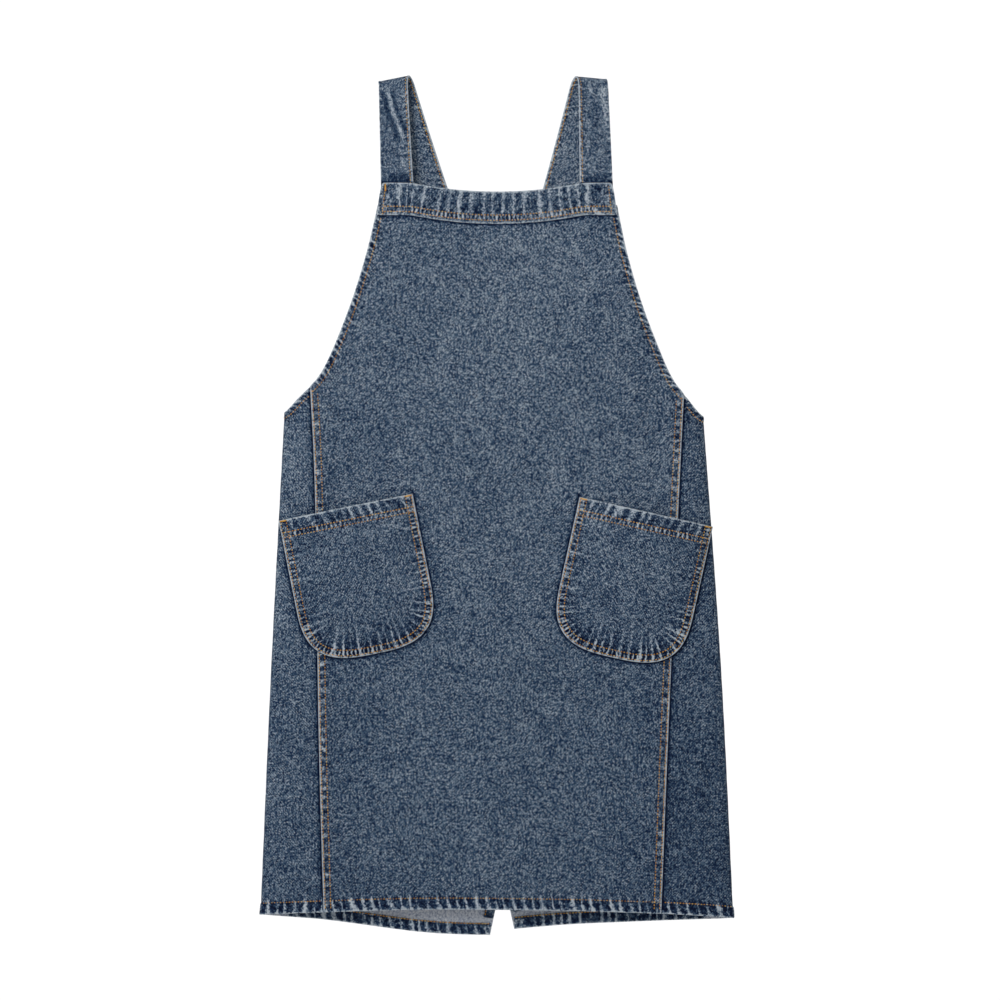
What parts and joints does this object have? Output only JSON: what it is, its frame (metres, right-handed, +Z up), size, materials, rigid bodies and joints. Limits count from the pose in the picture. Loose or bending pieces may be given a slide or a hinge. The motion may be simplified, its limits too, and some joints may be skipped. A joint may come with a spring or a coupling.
{
  "type": "artist smock apron",
  "caption": "Cross-back artist's smock apron in washed denim: a bib with crossed shoulder straps, a wrapped skirt open at centre back, and two slanted patch pockets.",
  "frame": {"origin": "midway between the shoulder straps, at the height of the highest point of their folds, in the apron's middle plane", "axes": "+Z up, from the hem to the shoulder folds; the front faces -Y; +X is to the right as seen from the front"},
  "size_m": [0.5439, 0.0321, 0.9896],
  "materials": {
    "washed_denim": "matte, washed cotton twill with abraded edges",
    "topstitch_thread": "satin, twisted cotton-wrapped thread"
  },
  "bodies": {
    "root": {"bib_band": "washed_denim", "bib_band_topstitch_lower": "topstitch_thread", "bib_band_topstitch_upper": "topstitch_thread", "bib_facing": "washed_denim", "front_hem": "washed_denim", "front_hem_topstitch": "topstitch_thread", "front_panel": "washed_denim", "left_armhole_hem": "washed_denim", "left_armhole_topstitch": "topstitch_thread", "left_back_neck_hem": "washed_denim", "left_back_panel": "washed_denim", "left_felled_seam": "washed_denim", "left_pocket": "washed_denim", "left_pocket_bar_tack_inner": "topstitch_thread", "left_pocket_bar_tack_outer": "topstitch_thread", "left_pocket_mouth_hem": "washed_denim", "left_pocket_topstitch": "topstitch_thread", "left_seam_topstitch_inner": "topstitch_thread", "left_seam_topstitch_outer": "topstitch_thread", "left_side_fold": "washed_denim", "left_side_hem": "washed_denim", "left_side_panel": "washed_denim", "left_strap_back": "washed_denim", "left_strap_box_stitch": "topstitch_thread", "left_strap_front": "washed_denim", "left_strap_shoulder": "washed_denim", "right_armhole_hem": "washed_denim", "right_armhole_topstitch": "topstitch_thread", "right_back_neck_hem": "washed_denim", "right_back_panel": "washed_denim", "right_felled_seam": "washed_denim", "right_pocket": "washed_denim", "right_pocket_bar_tack_inner": "topstitch_thread", "right_pocket_bar_tack_outer": "topstitch_thread", "right_pocket_mouth_hem": "washed_denim", "right_pocket_topstitch": "topstitch_thread", "right_seam_topstitch_inner": "topstitch_thread", "right_seam_topstitch_outer": "topstitch_thread", "right_side_fold": "washed_denim", "right_side_hem": "washed_denim", "right_side_panel": "washed_denim", "right_strap_back": "washed_denim", "right_strap_box_stitch": "topstitch_thread", "right_strap_front": "washed_denim", "right_strap_shoulder": "washed_denim"},
    "left_flap": {"left_back_flap": "washed_denim", "left_back_hem": "washed_denim", "left_back_hem_topstitch": "topstitch_thread", "left_centre_back_hem": "washed_denim", "left_centre_back_topstitch": "topstitch_thread"},
    "right_flap": {"right_back_flap": "washed_denim", "right_back_hem": "washed_denim", "right_back_hem_topstitch": "topstitch_thread", "right_centre_back_hem": "washed_denim", "right_centre_back_topstitch": "topstitch_thread"}
  },
  "joints": [
    {"name": "left_flap_fold", "type": "hinge", "parent": "root", "child": "left_flap", "pos_m": [0.0065, 0.00915, -0.458], "axis": [0.433, 0, 0.9014], "range_deg": [0, 120]},
    {"name": "right_flap_fold", "type": "hinge", "parent": "root", "child": "right_flap", "pos_m": [0.0095, 0.00915, -0.458], "axis": [0.4069, 0, -0.9135], "range_deg": [0, 120]}
  ]
}
